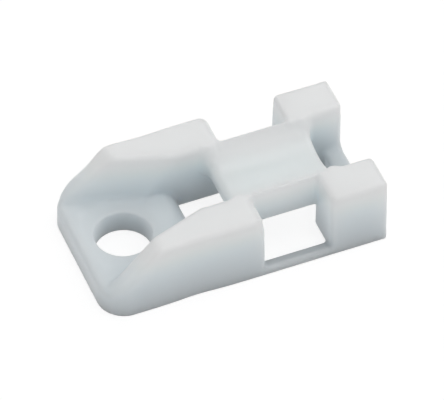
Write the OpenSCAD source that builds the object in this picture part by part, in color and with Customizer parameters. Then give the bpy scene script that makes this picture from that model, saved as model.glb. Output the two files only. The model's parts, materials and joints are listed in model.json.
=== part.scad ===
// Screw-fixed cable tie mount, moulded in one piece.
// A flat plate with a screw hole runs into two walls that carry a saddle-shaped bridge.
// A cable tie passes under the bridge, lengthwise through the two slots or crosswise
// through the two side windows, and holds the cables down in the saddle.
// Origin: the axis of the screw hole at the underside. +X points to the tie end, +Z up.

/* [Body] */
// Length over the whole body
body_l = 22.8; // [21.5:0.1:28]
// Width across the underside
body_w = 12.3; // [11.5:0.1:16]
// Height of the walls and of the saddle's edges
body_h = 5.9; // [5.4:0.1:8]
// Draft of the long outer walls, in degrees
wall_draft = 2.8; // [0:0.1:3]
// Radius of the two corners at the screw end, seen from above
screw_corner_r = 2.2; // [1:0.1:3.4]
// Radius of the two corners at the tie end, seen from above
tie_corner_r = 0.25; // [0.2:0.05:1]
// Rounding of the long top edges
edge_r = 0.4; // [0.3:0.05:0.9]

/* [Screw end] */
// Distance from the screw end to the axis of the hole
end_to_hole = 3.7; // [3.2:0.05:5]
// Thickness of the plate
plate_t = 2.3; // [1.5:0.1:2.8]
// Bore of the screw hole, a clearance for an M4 screw
hole_d = 4.4; // [3:0.1:5]
// Diameter of the shallow dish round the hole
dish_d = 6.8; // [6:0.1:7.4]
// Depth of the dish
dish_depth = 0.15; // [0.05:0.05:0.4]
// Rounding of the hole's upper rim
rim_r = 0.15; // [0.1:0.05:0.4]
// Rounding of the plate's own end edge
plate_edge_r = 0.4; // [0.2:0.05:0.5]

/* [Wings] */
// Clear width between the wings at the screw hole, at the plate
pocket_w = 7.2; // [6.6:0.1:8]
// Angle at which each wing closes in towards the tie channel
wing_yaw = 18.3; // [12:0.1:22]
// Outward lean of the wings' inner faces
wing_lean = 13.5; // [5:0.5:18]
// Distance from the screw end to the foot of the wings' ramp
ramp_foot = 0.7; // [0.6:0.05:1.4]
// Height of the wings' ends above the plate, before the ramp
wing_toe = 0.1; // [0.05:0.05:0.4]
// Slope of the ramp that the wings rise by
ramp_slope = 44; // [38:1:60]
// Radius that blends the ramp into the top
ramp_r = 1.2; // [0.5:0.1:2.6]

/* [Tie channel] */
// Clear width of the channel, for a 4.8 mm tie
channel_w = 5.4; // [5:0.1:6]
// Distance from the hole to the plate's inner edge, where the first slot starts
slot_start = 5.4; // [4.8:0.1:5.8]
// Radius of the plate's inner edge
slot_edge_r = 1.8; // [0.5:0.1:2.2]
// Thickness of the low wall that closes the tie end
end_wall_t = 1.55; // [1.2:0.05:2]
// Height of that low wall
end_wall_h = 1.5; // [1:0.1:2.4]
// Rounding of the low wall's edges
end_wall_r = 0.4; // [0.1:0.05:0.6]
// Rounding of the inner top edges
lip_r = 0.55; // [0.3:0.05:0.8]

/* [Windows] */
// Distance from the hole to the middle of the windows
window_x = 11.85; // [11.5:0.05:12.2]
// Width of the side windows, for the same tie laid crosswise
window_w = 5.4; // [5:0.1:6]
// Rounding of the posts' upright edges at the windows
window_r = 0.25; // [0.1:0.05:0.6]
// Rounding of the posts' top edges at the windows
window_top_r = 0.45; // [0.1:0.05:0.7]
// Width of the rail that crosses each window at the underside
rail_w = 1.1; // [0.8:0.05:1.5]
// Height of that rail at its outer face
rail_h = 0.7; // [0.3:0.05:1]
// How far the rail's top falls towards its inner edge
rail_fall = 0.3; // [0:0.05:0.3]

/* [Bridge] */
// Distance from the hole to the middle of the bridge
bridge_x = 11.95; // [11.7:0.05:12.2]
// Length of the bridge along the body
bridge_l = 8.3; // [7.8:0.1:8.8]
// Width of the bridge between the windows
bridge_w = 6.1; // [5.8:0.05:6.8]
// Height of the bridge's underside
bridge_z = 2.6; // [2.2:0.05:2.8]
// Height of the lowest line of the saddle
saddle_z = 4.25; // [4.1:0.05:4.6]
// Radius of the saddle
saddle_r = 3.6; // [3.2:0.05:4.2]
// Radius of the bridge's outer shoulders
shoulder_r = 0.3; // [0.1:0.05:0.6]
// Rounding of the bridge's end edges at the saddle
bridge_end_r = 0.4; // [0.1:0.05:0.4]
// Rounding of the same ends at the underside, where a tie bends round them
nose_r = 1; // [0.5:0.05:1.1]

/* [Hidden] */

$fn = 48;
arc_steps = 8;
far = 40;
over = 1;
nylon = [0.86, 0.89, 0.89];

screw_end = -end_to_hole;
tie_end = body_l - end_to_hole;
channel_half = channel_w / 2;
window_from = window_x - window_w / 2;
window_to = window_x + window_w / 2;
bridge_from = bridge_x - bridge_l / 2;
bridge_to = bridge_x + bridge_l / 2;
rail_inner = body_w / 2 - rail_w;
rim_z = plate_t - dish_depth;

// Points of an arc about c from angle a0 to angle a1.
function arc(c, r, a0, a1) =
    [for (i = [0 : arc_steps]) let (a = a0 + (a1 - a0) * i / arc_steps) c + r * [cos(a), sin(a)]];

// The same points on the other side of the Y axis of a section, in the opposite order.
function mirrored(points) =
    [for (i = [len(points) - 1 : -1 : 0]) [-points[i][0], points[i][1]]];

// A section drawn in Y and Z, carried along X.
module along_x(from, to) {
    translate([from, 0, 0])
        rotate([90, 0, 90])
            linear_extrude(to - from)
                children();
}

// A profile drawn in X and Z, carried along Y.
module along_y(from, to) {
    translate([0, to, 0])
        rotate([90, 0, 0])
            linear_extrude(to - from)
                children();
}

// ---- outer form: plan, side view and cross-section meet ----

module corner_pair(x, r) {
    for (side = [-1, 1])
        translate([x, side * (body_w / 2 - r)])
            circle(r);
}

module plan_view() {
    corner_pair(screw_end + screw_corner_r, screw_corner_r);
    corner_pair(tie_end - tie_corner_r, tie_corner_r);
    translate([screw_end + screw_corner_r, -body_w / 2])
        square([body_l - screw_corner_r - tie_corner_r, body_w]);
    translate([screw_end, screw_corner_r - body_w / 2])
        square([screw_corner_r, body_w - 2 * screw_corner_r]);
    translate([tie_end - tie_corner_r, tie_corner_r - body_w / 2])
        square([tie_corner_r, body_w - 2 * tie_corner_r]);
}

// A low toe, the ramp, whose line passes through the plate's top at ramp_foot, and the top.
module side_view() {
    foot_x = screw_end + ramp_foot;
    ramp_rise = (body_h - ramp_r - plate_t) * cos(ramp_slope) + ramp_r;
    ramp_top_x = foot_x + ramp_rise / sin(ramp_slope);
    toe_z = plate_t + wing_toe;
    polygon(concat(
        [[screw_end, 0], [tie_end, 0]],
        arc([tie_end - edge_r, body_h - edge_r], edge_r, 0, 90),
        arc([ramp_top_x, body_h - ramp_r], ramp_r, 90, 90 + ramp_slope),
        [[foot_x + wing_toe / tan(ramp_slope), toe_z]],
        arc([screw_end + plate_edge_r, toe_z - plate_edge_r], plate_edge_r, 90, 180)
    ));
}

module cross_section() {
    centre_z = body_h - edge_r;
    centre_y = body_w / 2 - centre_z * tan(wall_draft) - edge_r / cos(wall_draft);
    half = concat([[body_w / 2, 0]], arc([centre_y, centre_z], edge_r, wall_draft, 90));
    polygon(concat(half, mirrored(half)));
}

module outer_form() {
    intersection() {
        linear_extrude(body_h) plan_view();
        along_y(-body_w, body_w) side_view();
        along_x(screw_end - over, tie_end + over) cross_section();
    }
}

// ---- screw end ----

// Space on the inner side of one wing's face, which leans out and is rounded at its top.
module wing_clearance() {
    lean_y = (body_h - lip_r - plate_t) * tan(wing_lean);
    top_y = lean_y + lip_r / cos(wing_lean);
    translate([0, pocket_w / 2, 0])
        rotate([0, 0, -wing_yaw])
            along_x(-far / 2, far)
                polygon(concat(
                    [[-far, plate_t], [0, plate_t]],
                    arc([top_y, body_h - lip_r], lip_r, 180 - wing_lean, 90),
                    [[top_y, body_h + over], [-far, body_h + over]]
                ));
}

module screw_pocket() {
    intersection() {
        wing_clearance();
        mirror([0, 1, 0]) wing_clearance();
        translate([screw_end - over, -far / 2, 0])
            cube([bridge_from - screw_end, far, far]);
    }
}

module screw_hole() {
    rim = hole_d / 2 + rim_r;
    translate([0, 0, -over])
        cylinder(h = plate_t + 2 * over, d = hole_d);
    rotate_extrude()
        polygon(concat(
            [[0, rim_z - rim_r]],
            arc([rim, rim_z - rim_r], rim_r, 180, 90),
            [[dish_d / 2, plate_t], [dish_d / 2, plate_t + over], [0, plate_t + over]]
        ));
}

// ---- tie channel and windows ----

module channel_section() {
    half = concat(
        [[channel_half, -over]],
        arc([channel_half + lip_r, body_h - lip_r], lip_r, 180, 90),
        [[channel_half + lip_r, body_h + over]]
    );
    polygon(concat(half, mirrored(half)));
}

module channel_side_view() {
    wall_x = tie_end - end_wall_t;
    polygon(concat(
        [[slot_start, -over]],
        arc([slot_start - slot_edge_r, plate_t - slot_edge_r], slot_edge_r, 0, 90),
        [[0, plate_t], [0, body_h + over], [tie_end + over, body_h + over]],
        [[tie_end + over, end_wall_h - end_wall_r]],
        arc([tie_end - end_wall_r, end_wall_h - end_wall_r], end_wall_r, 0, 90),
        arc([wall_x + end_wall_r, end_wall_h - end_wall_r], end_wall_r, 90, 180),
        [[wall_x, -over]]
    ));
}

module tie_channel() {
    intersection() {
        along_x(-over, tie_end + 2 * over) channel_section();
        along_y(-body_w, body_w) channel_side_view();
    }
}

// Seen from the side: an upright slot whose upper edges are rounded.
module window_side_view() {
    polygon(concat(
        [[window_from, -over], [window_to, -over]],
        arc([window_to + window_top_r, body_h - window_top_r], window_top_r, 180, 90),
        [[window_to + window_top_r, body_h + over], [window_from - window_top_r, body_h + over]],
        arc([window_from - window_top_r, body_h - window_top_r], window_top_r, 90, 0)
    ));
}

// Seen from the end: open from the channel outwards, above the low rail.
module window_section() {
    polygon([
        [0, -over],
        [rail_inner, -over],
        [rail_inner, rail_h - rail_fall],
        [body_w / 2, rail_h],
        [body_w / 2 + over, rail_h],
        [body_w / 2 + over, body_h + over],
        [0, body_h + over]
    ]);
}

// Rounds the two upright outer edges of the posts beside a window.
module post_edge_cut() {
    for (side = [-1, 1])
        translate([window_x + side * window_w / 2, body_w / 2 - window_r, rail_h])
            mirror([side > 0 ? 0 : 1, 0, 0])
                difference() {
                    translate([-over, 0, 0])
                        cube([window_r + over, window_r + over, body_h]);
                    translate([window_r, 0, -over])
                        cylinder(h = body_h + 2 * over, r = window_r);
                }
}

module window_cut() {
    intersection() {
        along_y(0, body_w) window_side_view();
        along_x(window_from - over, window_to + over) window_section();
    }
    post_edge_cut();
}

// ---- bridge ----

// Between the windows: rounded shoulders over a flat underside.
module bridge_section() {
    half = concat(
        [[bridge_w / 2, bridge_z]],
        arc([bridge_w / 2 - shoulder_r, body_h - shoulder_r], shoulder_r, 0, 90)
    );
    polygon(concat(half, mirrored(half)));
}

// Beside the windows: the bridge runs square into the posts.
module root_section() {
    root_w = channel_w + 2 * lip_r;
    translate([-root_w / 2, bridge_z])
        square([root_w, body_h - bridge_z]);
}

module bridge_side_view() {
    polygon(concat(
        arc([bridge_from + nose_r, bridge_z + nose_r], nose_r, 180, 270),
        arc([bridge_to - nose_r, bridge_z + nose_r], nose_r, 270, 360),
        [[bridge_to, body_h], [bridge_from, body_h]]
    ));
}

// The saddle is a round trough that opens out like a trumpet at both ends.
module saddle_cut() {
    reach = bridge_l / 2 + over;
    straight = bridge_l / 2 - bridge_end_r;
    mouth_r = saddle_r + bridge_end_r;
    mouth = arc([mouth_r, straight], bridge_end_r, 180, 90);
    tail = [for (i = [arc_steps : -1 : 0]) [mouth[i][0], -mouth[i][1]]];
    translate([bridge_x, 0, saddle_z + saddle_r])
        rotate([0, 90, 0])
            rotate_extrude()
                polygon(concat(
                    [[0, -reach], [mouth_r, -reach]],
                    tail,
                    mouth,
                    [[mouth_r, reach], [0, reach]]
                ));
}

module bridge() {
    difference() {
        intersection() {
            union() {
                along_x(bridge_from, bridge_to) bridge_section();
                along_x(bridge_from, window_from) root_section();
                along_x(window_to, bridge_to) root_section();
            }
            along_y(-body_w, body_w) bridge_side_view();
        }
        saddle_cut();
    }
}

module mount_body() {
    color(nylon) {
        difference() {
            outer_form();
            screw_pocket();
            screw_hole();
            tie_channel();
            window_cut();
            mirror([0, 1, 0]) window_cut();
        }
        bridge();
    }
}

mount_body();
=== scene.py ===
import json
import math

import bpy
import numpy as np
from mathutils import Matrix, Vector


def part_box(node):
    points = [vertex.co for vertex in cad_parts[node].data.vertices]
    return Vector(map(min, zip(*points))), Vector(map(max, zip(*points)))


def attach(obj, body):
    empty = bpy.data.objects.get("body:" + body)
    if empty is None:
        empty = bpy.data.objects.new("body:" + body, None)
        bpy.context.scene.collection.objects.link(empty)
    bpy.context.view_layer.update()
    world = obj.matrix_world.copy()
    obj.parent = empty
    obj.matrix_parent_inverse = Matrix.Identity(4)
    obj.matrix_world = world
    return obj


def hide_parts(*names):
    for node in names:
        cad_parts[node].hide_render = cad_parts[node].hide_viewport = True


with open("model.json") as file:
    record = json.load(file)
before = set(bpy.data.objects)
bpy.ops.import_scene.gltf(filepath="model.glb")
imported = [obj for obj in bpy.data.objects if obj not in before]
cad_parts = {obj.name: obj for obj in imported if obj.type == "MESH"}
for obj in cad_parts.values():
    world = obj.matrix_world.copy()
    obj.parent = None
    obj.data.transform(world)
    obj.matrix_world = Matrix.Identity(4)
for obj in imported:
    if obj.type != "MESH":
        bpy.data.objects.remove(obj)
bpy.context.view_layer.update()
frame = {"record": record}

# ---- Moulded body, outer form ----
# The mount is one injection moulding in natural nylon: a flat plate that runs into two
# long walls, with drafted sides that have sunk a hair's breadth beside the screw hole.
# Its skin is worked out below from signed distances, in millimetres.

MM = 0.001
low, high = (np.array(corner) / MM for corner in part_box("mount_body"))
screw_end, tie_end = low[0], high[0]
body_half = high[1]
body_h = high[2]
wall_draft = math.radians(2.8)
screw_corner_r = 2.2
tie_corner_r = 0.25
edge_r = 0.4
plate_edge_r = 0.7
underside_r = 0.1
plate_t = 2.3
ramp_foot = 0.7
ramp_slope = math.radians(44)
ramp_r = 1.2
ramp_fillet_r = 0.5
ramp_blend = 0.4
edge_change_z = 4.2
edge_change = 1.2
sink = 0.1
sink_x = 3.6
sink_spread = 1.9


def cut_to(a, b, r, lean=0.0):
    """Both solids at once, their shared edge rounded by r, where lean is the cosine between
    the two faces' outward directions. Both faces are moved in by r, and the distance to the
    line where they then cross, less r, counts for the points that are nearest to that line.
    Elsewhere the larger of the two distances counts."""
    u, v = a + r, b + r
    rounded = (u > lean * v) & (v > lean * u)
    across = np.sqrt(np.maximum(u * u + v * v - 2 * lean * u * v, 0) / (1 - lean * lean))
    return np.where(rounded, across - r, np.maximum(a, b))


def join(a, b, r, lean=0.0):
    """Either solid, with a fillet of radius r in the inner corner where they meet."""
    return -cut_to(-a, -b, r, lean)


def eased(t):
    """Runs from 0 to 1 as t does, level at both ends: 3 t squared less 2 t cubed."""
    t = np.clip(t, 0, 1)
    return t * t * (3 - 2 * t)


def outer_form(x, y, z):
    """A rounded rectangle in plan whose half-width narrows by the draft with height, meeting
    a side view that is the top's height cut by the plate's height and the ramp's line. The
    edge between them is rounder low down, and follows the ramp's slope where it is the end
    that meets the ramp."""
    sunk = sink * np.exp(-(((x - sink_x) / sink_spread) ** 2))
    half = body_half - z * math.tan(wall_draft) - sunk
    corner = np.where(x < (screw_end + tie_end) / 2, screw_corner_r, tie_corner_r)
    across = np.abs(y) - half
    along = np.maximum(screw_end - x, x - tie_end)
    plan = cut_to(along, across, corner)
    rise = z - plate_t - (x - screw_end - ramp_foot) * math.tan(ramp_slope)
    lean = math.cos(ramp_slope)
    foot = join(rise * lean, z - plate_t, ramp_fillet_r, lean)
    side = cut_to(foot, z - body_h, ramp_r, lean)
    past = np.hypot(np.maximum(along + corner, 0), np.maximum(across + corner, 0))
    facing_end = np.maximum(screw_end - x + corner, 0) / np.maximum(past, 0.01)
    on_ramp = eased((x - screw_end - ramp_foot) / ramp_blend + 0.5)
    lean = math.sin(ramp_slope) * on_ramp * np.clip(facing_end, 0, 1)
    edge = plate_edge_r + (edge_r - plate_edge_r) * eased((z - edge_change_z) / edge_change)
    return cut_to(cut_to(plan, side, edge, lean), -z, underside_r)


# ---- Moulded body, screw end ----
# A plate with a bored screw hole in a shallow dish, between two wings that lean out and
# close in towards the tie channel. The bore and dish are cored by pins in the mould.

bore_r = frame["record"]["mounts"][0]["dims"]["r_mm"]
dish_r = 3.4
dish_depth = 0.15
rim_r = 0.15
pocket_half = 3.6
wing_yaw = math.radians(18.3)
wing_lean = math.radians(13.5)
wing_foot_r = 0.6
wing_end_r = 0.4
lip_r = 0.55


def wing_face(x, y, z):
    """Distance from the leaning inner face of a wing, positive on the clear side. The face
    passes through the pocket's half-width at the hole and turns in by the wing's yaw."""
    outward = (np.abs(y) - pocket_half) * math.cos(wing_yaw) + x * math.sin(wing_yaw)
    return (z - plate_t) * math.sin(wing_lean) - outward * math.cos(wing_lean)


# ---- Moulded body, tie channel and windows ----
# A slot runs the length of the walls under the bridge and one crosses it through a window
# in each wall, so that a cable tie can lie either way. A low wall closes the tie end.

channel_half = 2.7
slot_start = 5.4
slot_edge_r = 1.8
end_wall_t = 1.55
end_wall_h = 1.5
end_wall_r = 0.4
end_wall_foot_r = 0.6
window_x = 11.85
window_half = 2.7
window_r = 0.25
window_top_r = 0.45
wing_top_r = 0.85
rail_w = 1.1
rail_h = 0.7
rail_fall = 0.3
rail_r = 0.12
fillet_r = 0.3
wall_turn_r = 1.2
wing_blend = 0.3


def wing_share(x, y, z):
    """1 where a wing's face bounds the clear space, 0 where the channel's side does, eased
    from one to the other by the difference of their two distances."""
    return eased((wing_face(x, y, z) - channel_half + np.abs(y)) / wing_blend + 0.5)


def walls_and_plate(x, y, z):
    """Walls outside the channel and the wings' faces, cut by the windows, then joined to the
    plate, the low end wall and the rails. Each is a half-space or a meeting of two."""
    side = np.abs(y)
    turn = math.cos(wing_yaw) * math.cos(wing_lean)
    walls = cut_to(channel_half - side, wing_face(x, y, z), wall_turn_r, turn)
    walls = cut_to(walls, window_half - np.abs(x - window_x), window_r)
    reach = np.hypot(x, y)
    dish = np.clip((dish_r - reach) / (dish_r - bore_r - rim_r), 0, 1)
    plate = cut_to(z - plate_t + dish_depth * dish, x - slot_start, slot_edge_r)
    end_wall = cut_to(z - end_wall_h, tie_end - end_wall_t - x, end_wall_r)
    rail_inner = body_half - rail_w
    rail_top = rail_h - rail_fall * (body_half - side) / rail_w
    rail = cut_to(z - rail_top, rail_inner - side, rail_r)
    on_wing = wing_share(x, y, z)
    foot_r = fillet_r + (wing_foot_r - fillet_r) * on_wing
    body = join(walls, plate, foot_r, math.sin(wing_lean) * on_wing)
    body = join(body, end_wall, end_wall_foot_r)
    return join(body, rail, fillet_r)


# ---- Moulded body, bridge ----
# A saddle spans the channel between the windows and ties the two walls together. Its round
# trough seats the cables, and its ends are rounded so that a tie slides under them.

bridge_x = 11.95
bridge_half_l = 4.15
bridge_half_w = 3.05
bridge_z = 2.6
saddle_z = 4.25
saddle_r = 3.6
shoulder_r = 0.3
root_shoulder_r = 0.1
crest_r = 0.15
bridge_end_r = 0.45
bridge_lead_r = 0.8
nose_r = 1.0
nose_edge_r = 0.1
root_r = 0.3
web_r = 1.0
web_start = 3.1
web_blend = 0.8
web_rise = 0.6


def bridge(x, y, z):
    """A bar with rounded shoulders between the windows, square beside them, with a round
    trough along its top, and rounded off at its underside and both ends."""
    side = np.abs(y)
    along = np.abs(x - bridge_x)
    root_half = channel_half + lip_r
    over_root = eased((np.abs(x - window_x) - window_half) / window_top_r)
    half_w = bridge_half_w + (root_half - bridge_half_w) * over_root
    bar_r = shoulder_r + (root_shoulder_r - shoulder_r) * over_root
    bar = cut_to(side - half_w, z - body_h, bar_r)
    trough = saddle_r - np.hypot(y, z - saddle_z - saddle_r)
    bar = cut_to(bar, trough, crest_r)
    end_r = np.where(x < bridge_x, bridge_lead_r, bridge_end_r)
    bar = cut_to(bar, along - bridge_half_l, end_r)
    return cut_to(bar, cut_to(bridge_z - z, along - bridge_half_l, nose_r), nose_edge_r)


# ---- Moulded body, edges ----
# The mould's upright parting edges leave the moulding fairly crisp. Its top edges, the ramps'
# and those a tie bends over are softer, and the screw side of the windows is softest.

window_reach = 0.8
top_band = 1.5
top_blend = 0.7
ramp_band_x = 0.8
ramp_band_blend = 1.5
wing_edge_lean = 0.3


def moulding(x, y, z):
    """The whole body: walls and plate cut to the outer form, the bridge joined on, and the
    screw hole bored. The edge's radius goes by height and by the distance from the windows'
    sides. The bridge's fillet is wide at its ends and small beside the windows."""
    beside = 1 - eased(np.abs(np.abs(x - window_x) - window_half) / lip_r - window_reach)
    end_r = np.where(x < window_x, wing_top_r, window_top_r)
    top_r = lip_r + (end_r - lip_r) * beside
    near_top = eased((z - body_h + top_band) / top_blend)
    near_ramp = 1 - eased((x - ramp_band_x) / ramp_band_blend)
    edge = wing_end_r + (top_r - wing_end_r) * np.maximum(near_top, near_ramp)
    lean = wing_edge_lean * wing_share(x, y, z)
    body = cut_to(outer_form(x, y, z), walls_and_plate(x, y, z), edge, lean)
    at_end = eased((np.abs(x - bridge_x) - web_start) / web_blend)
    web = at_end * eased((z - bridge_z) / web_rise)
    body = join(body, bridge(x, y, z), root_r + (web_r - root_r) * web)
    body = np.maximum(body, z - body_h)
    return cut_to(body, bore_r - np.hypot(x, y), rim_r)


# ---- Moulded body, skin ----
# The moulding came out of its mould in one piece, so it is one closed skin, of four-sided
# faces small enough that its finest roundings stay smooth.

skin_pitch = 0.12
project_steps = 4
slope_step = 0.01


def slope_of(field, points):
    """The field's steepest rise at each point, from its values a short step either way."""
    rise = np.empty_like(points)
    for axis in range(3):
        shift = np.zeros(3)
        shift[axis] = slope_step
        change = field(*(points + shift).T) - field(*(points - shift).T)
        rise[:, axis] = change / (2 * slope_step)
    return rise


def skin_of(field, low, high, pitch):
    """Points and faces of the skin where the field is nought. The field is worked out on a
    grid. Each grid cell that the skin crosses gets one point, at the mean of the crossings
    on its edges, moved onto the skin along the field's slope. Each grid edge that the skin
    crosses gets one face, between the four cells round it."""
    counts = np.ceil((high - low) / pitch).astype(int) + 3
    start = (low + high) / 2 - pitch * (counts - 1) / 2
    lines = [start[i] + pitch * np.arange(counts[i]) for i in range(3)]
    value = field(*np.meshgrid(*lines, indexing="ij"))
    total = np.zeros(tuple(counts - 1) + (3,))
    hits = np.zeros(counts - 1)
    crossings = []
    for axis in range(3):
        lower = np.moveaxis(value, axis, 0)[:-1]
        upper = np.moveaxis(value, axis, 0)[1:]
        at = np.argwhere((lower < 0) != (upper < 0))
        a, b = lower[tuple(at.T)], upper[tuple(at.T)]
        order = [axis] + [i for i in range(3) if i != axis]
        cell = np.empty_like(at)
        cell[:, order] = at
        place = start + pitch * cell
        place[:, axis] += pitch * a / (a - b)
        crossings.append((axis, cell, a < 0))
        u, v = order[1:]
        for du in (0, 1):
            for dv in (0, 1):
                near = cell.copy()
                near[:, u] -= du
                near[:, v] -= dv
                np.add.at(total, tuple(near.T), place)
                np.add.at(hits, tuple(near.T), 1)
    used = hits > 0
    number = np.full(used.shape, -1)
    number[used] = np.arange(used.sum())
    points = total[used] / hits[used][:, None]
    faces = []
    for axis, cell, outward in crossings:
        u, v = [(axis + 1) % 3, (axis + 2) % 3]
        ring = []
        for du, dv in ((1, 1), (0, 1), (0, 0), (1, 0)):
            near = cell.copy()
            near[:, u] -= du
            near[:, v] -= dv
            ring.append(number[tuple(near.T)])
        ring = np.stack(ring, axis=1)
        faces.append(np.where(outward[:, None], ring, ring[:, ::-1]))
    for _ in range(project_steps):
        rise = slope_of(field, points)
        points -= rise * (field(*points.T) / np.maximum((rise**2).sum(1), 0.25))[:, None]
    return points, np.concatenate(faces)


def mesh_object(name, points, faces):
    """A smooth-shaded mesh object from points in millimetres and four-sided faces."""
    mesh = bpy.data.meshes.new(name)
    mesh.vertices.add(len(points))
    mesh.vertices.foreach_set("co", (points * MM).astype(np.float32).ravel())
    mesh.loops.add(faces.size)
    mesh.loops.foreach_set("vertex_index", faces.astype(np.int32).ravel())
    mesh.polygons.add(len(faces))
    mesh.polygons.foreach_set("loop_start", np.arange(0, faces.size, 4, dtype=np.int32))
    mesh.update(calc_edges=True)
    mesh.validate()
    mesh.shade_smooth()
    shape = bpy.data.objects.new(name, mesh)
    bpy.context.scene.collection.objects.link(shape)
    return shape


points, faces = skin_of(moulding, low, high, skin_pitch)
body_skin = mesh_object("moulded_body", points, faces)

# ---- Natural nylon ----
# Unpigmented nylon straight from the mould: milky, slightly cool in tone, with a satin skin
# that light enters and leaves again a millimetre or two away.


class Socket:
    """A shader value that Python's own operators work on, each one as a Math node."""

    def __init__(self, tree, socket):
        self.tree = tree
        self.socket = socket

    def node(self, kind, settings=None, inputs=None, output=0):
        """A node of that type, its settings made first, then its sockets set or linked."""
        made = self.tree.nodes.new(kind)
        for name, value in (settings or {}).items():
            setattr(made, name, value)
        for name, value in (inputs or {}).items():
            if isinstance(value, Socket):
                self.tree.links.new(value.socket, made.inputs[name])
            else:
                made.inputs[name].default_value = value
        return Socket(self.tree, made.outputs[output])

    def maths(self, operation, a, b):
        return self.node("ShaderNodeMath", {"operation": operation}, {0: a, 1: b})

    def __add__(self, other):
        return self.maths("ADD", self, other)

    def __sub__(self, other):
        return self.maths("SUBTRACT", self, other)

    def __mul__(self, other):
        return self.maths("MULTIPLY", self, other)

    __radd__ = __add__
    __rmul__ = __mul__

    def __rsub__(self, other):
        return self.maths("SUBTRACT", other, self)


def new_material(name):
    """A node material, with its node tree and the shader that its finish is set on."""
    material = bpy.data.materials.new(name)
    material.use_nodes = True
    return material, material.node_tree, material.node_tree.nodes["Principled BSDF"]


def mixed_colour(share, first, second):
    """The first colour where the share is 0, the second where it is 1."""
    inputs = {0: share, 6: first, 7: second}
    return share.node("ShaderNodeMix", {"data_type": "RGBA"}, inputs, output=2)


# Painted shade: the base colour is darker at the foot and lighter towards the crest height
# because of how the light falls, not because the nylon's own colour changes.
painted_shade_colour = (0.61, 0.657, 0.685, 1)
painted_lit_colour = (0.905, 0.965, 0.99, 1)
painted_shade_height = 4.8
tint_wander = 0.12
painted_shade_offset = 0.1
satin = 0.24
wave_height = 0.00003
soak_length = 0.0022


def natural_nylon():
    """Base colour from two cool whites as painted shade, the darker at the foot and the
    lighter at the crest, standing in for the shade that falls lower down, with a little slow
    noise as tone that differs at random, roughness from fine noise, and a bump of faint waves
    and skin grain."""
    material, tree, shader = new_material("natural_nylon")
    place = Socket(tree, tree.nodes.new("ShaderNodeTexCoord").outputs["Object"])

    def noise(scale, detail):
        inputs = {"Vector": place, "Scale": scale, "Detail": detail}
        return place.node("ShaderNodeTexNoise", None, inputs)

    slow, grain, waves = noise(260.0, 3.0), noise(9000.0, 2.0), noise(420.0, 1.0)
    rise = place.node("ShaderNodeSeparateXYZ", None, {"Vector": place}, output=2)
    # Painted shade: the share of the lighter colour rises with height up to the crest height,
    # plus slow noise for tone that differs at random.
    painted_shade_and_tone = rise * (1 / (painted_shade_height * MM)) + slow * tint_wander - painted_shade_offset
    painted_shade_tint = mixed_colour(painted_shade_and_tone, painted_shade_colour, painted_lit_colour)
    tree.links.new(painted_shade_tint.socket, shader.inputs["Base Color"])
    rough = satin + grain * 0.08 + slow * 0.04
    tree.links.new(rough.socket, shader.inputs["Roughness"])
    relief = {"Height": waves + grain * 0.04, "Strength": 0.35, "Distance": wave_height}
    bump = place.node("ShaderNodeBump", None, relief)
    tree.links.new(bump.socket, shader.inputs["Normal"])
    shader.inputs["Subsurface Weight"].default_value = 1.0
    shader.inputs["Subsurface Radius"].default_value = (1.0, 1.0, 1.0)
    shader.inputs["Subsurface Scale"].default_value = soak_length
    shader.inputs["IOR"].default_value = 1.5
    return material


body_skin.data.materials.append(natural_nylon())
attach(body_skin, "root")
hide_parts("mount_body")

# ---- Floor ----
# A plain white sheet that the mount rests on, a hair below its underside. It returns most
# of the light to the mount, and is seen as white with the mount's soft shadow.

floor_side = 1.2
floor_drop = 0.00002
sheet_white = (0.9, 0.9, 0.9, 1)
seen_white = (0.25, 0.25, 0.25, 1)
seen_glow = (0.83, 0.83, 0.83, 1)
black = (0, 0, 0, 1)

floor_mesh = bpy.data.meshes.new("floor")
corners = np.array([[-1, -1, 0], [1, -1, 0], [1, 1, 0], [-1, 1, 0]]) * floor_side / 2
corners[:, 2] = -floor_drop
floor_mesh.from_pydata(corners.tolist(), [], [[0, 1, 2, 3]])
floor = bpy.data.objects.new("floor", floor_mesh)
bpy.context.scene.collection.objects.link(floor)

paper, tree, shader = new_material("white_paper")
path = tree.nodes.new("ShaderNodeLightPath")
kinds = ("Is Camera Ray", "Is Glossy Ray", "Is Transmission Ray")
seen = sum(Socket(tree, path.outputs[kind]) for kind in kinds)
tree.links.new(mixed_colour(seen, sheet_white, seen_white).socket, shader.inputs["Base Color"])
tree.links.new(mixed_colour(seen, black, seen_glow).socket, shader.inputs["Emission Color"])
shader.inputs["Emission Strength"].default_value = 1.0
shader.inputs["Roughness"].default_value = 0.9
shader.inputs["Specular IOR Level"].default_value = 0.0
floor_mesh.materials.append(paper)

# ---- Light ----
# A light tent: a pale surround, four wide soft lamps round the mount, the right one the
# strongest, and a smaller one overhead that draws thin lights along the top edges.

tent_glow = 0.32
overhead_place, overhead_size, overhead_watts = (0.05, 0.0, 0.4), 0.12, 0.2
side_reach, side_height = 0.31, 0.26
side_size, side_watts, side_tilt = 0.3, 0.25, 0.4

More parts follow.
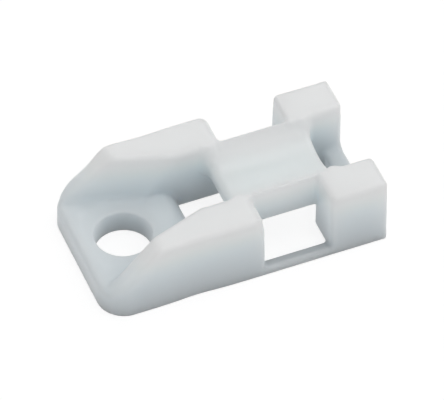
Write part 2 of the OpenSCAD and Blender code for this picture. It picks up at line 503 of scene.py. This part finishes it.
world = bpy.data.worlds.new("tent")
bpy.context.scene.world = world
world.use_nodes = True
backdrop = world.node_tree.nodes["Background"]
backdrop.inputs["Color"].default_value = (1, 1, 1, 1)
backdrop.inputs["Strength"].default_value = tent_glow


def soft_lamp(name, place, aim, size, watts):
    """A square area lamp of that size, its face turned from its place to its aim."""
    lamp = bpy.data.lights.new(name, "AREA")
    lamp.shape = "SQUARE"
    lamp.size = size
    lamp.energy = watts
    stand = bpy.data.objects.new(name, lamp)
    bpy.context.scene.collection.objects.link(stand)
    stand.location = place
    way = Vector(place) - Vector(aim)
    stand.rotation_euler = way.to_track_quat("Z", "Y").to_euler()


middle = tuple((low + high) / 2 * MM)
soft_lamp("overhead", overhead_place, middle, overhead_size, overhead_watts)
for name, x, y in (("right", 1, 0), ("back", 0, 1), ("left", -1, 0), ("front", 0, -1)):
    place = (side_reach * x, side_reach * y, side_height)
    soft_lamp(name, place, middle, side_size, side_watts * (1 + side_tilt * x))

# ---- Camera ----
# A long lens, a third of a metre away, that looks down on the near side of the mount from
# beyond its screw end.

view_turn = math.radians(22.81)
view_height = math.radians(47.64)
view_roll = math.radians(0.58)
view_distance = 0.34334
picture_width = 0.033569
aim = np.array([0.0077, 0, 0.003])
aim_right, aim_up = 0.000318, -0.00018

away = np.array([
    math.sin(view_turn) * math.cos(view_height),
    math.cos(view_turn) * math.cos(view_height),
    -math.sin(view_height),
])
right = np.array([math.cos(view_turn), -math.sin(view_turn), 0])
upward = np.cross(right, away)
right, upward = (
    right * math.cos(view_roll) + upward * math.sin(view_roll),
    upward * math.cos(view_roll) - right * math.sin(view_roll),
)
spot = aim + right * aim_right + upward * aim_up - away * view_distance
lens = bpy.data.cameras.new("camera")
lens.sensor_width = 36
lens.lens = lens.sensor_width * view_distance / picture_width
lens.clip_start = 0.01
camera = bpy.data.objects.new("camera", lens)
bpy.context.scene.collection.objects.link(camera)
camera.matrix_world = Matrix([*np.column_stack([right, upward, -away, spot]), (0, 0, 0, 1)])
bpy.context.scene.camera = camera
bpy.context.scene.view_settings.view_transform = "Standard"
